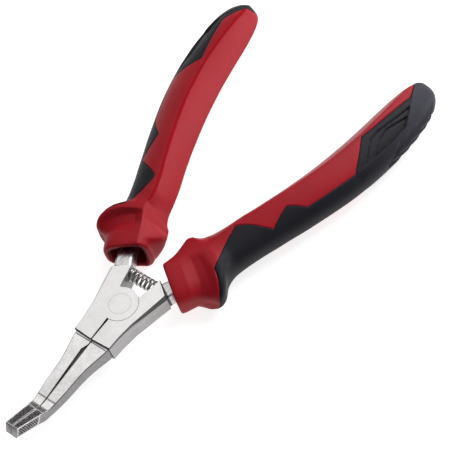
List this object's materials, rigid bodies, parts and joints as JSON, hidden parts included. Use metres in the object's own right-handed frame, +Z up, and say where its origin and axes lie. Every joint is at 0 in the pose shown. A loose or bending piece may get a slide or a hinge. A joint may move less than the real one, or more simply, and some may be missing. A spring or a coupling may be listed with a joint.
{
  "type": "pliers",
  "caption": "Reverse-action bent-nose pliers: squeezing the two-colour handles opens the serrated jaws against a coil spring; the tips grip flat side and outer knurl",
  "frame": {"origin": "on the pivot axis, at the flat back face of the head", "axes": "+Y from the pivot toward the handles, +X toward the right handle, +Z up out of the front face, the way the tips bend"},
  "size_m": [0.101, 0.1941, 0.0188],
  "materials": {
    "plated_steel": "satin nickel plate, grainy as-forged jaw fronts",
    "spring_steel": "drawn wire, plated",
    "red_grip": "matte moulded, fine grain",
    "soft_inlay": "soft-touch moulded elastomer"
  },
  "bodies": {
    "right_half": {"right_lever": "plated_steel", "pivot_rivet": "plated_steel", "return_spring": "spring_steel", "right_grip_body": "red_grip", "right_grip_inlay": "soft_inlay"},
    "left_half": {"left_lever": "plated_steel", "left_grip_body": "red_grip", "left_grip_inlay": "soft_inlay"}
  },
  "joints": [
    {"name": "pivot", "type": "hinge", "parent": "right_half", "child": "left_half", "pos_m": [0, 0, 0.0045], "axis": [0, 0, -1], "range_deg": [0, 15], "stiffness_Nm_per_rad": 1.6, "springref_deg": -4.58, "deforming": ["return_spring"]}
  ]
}
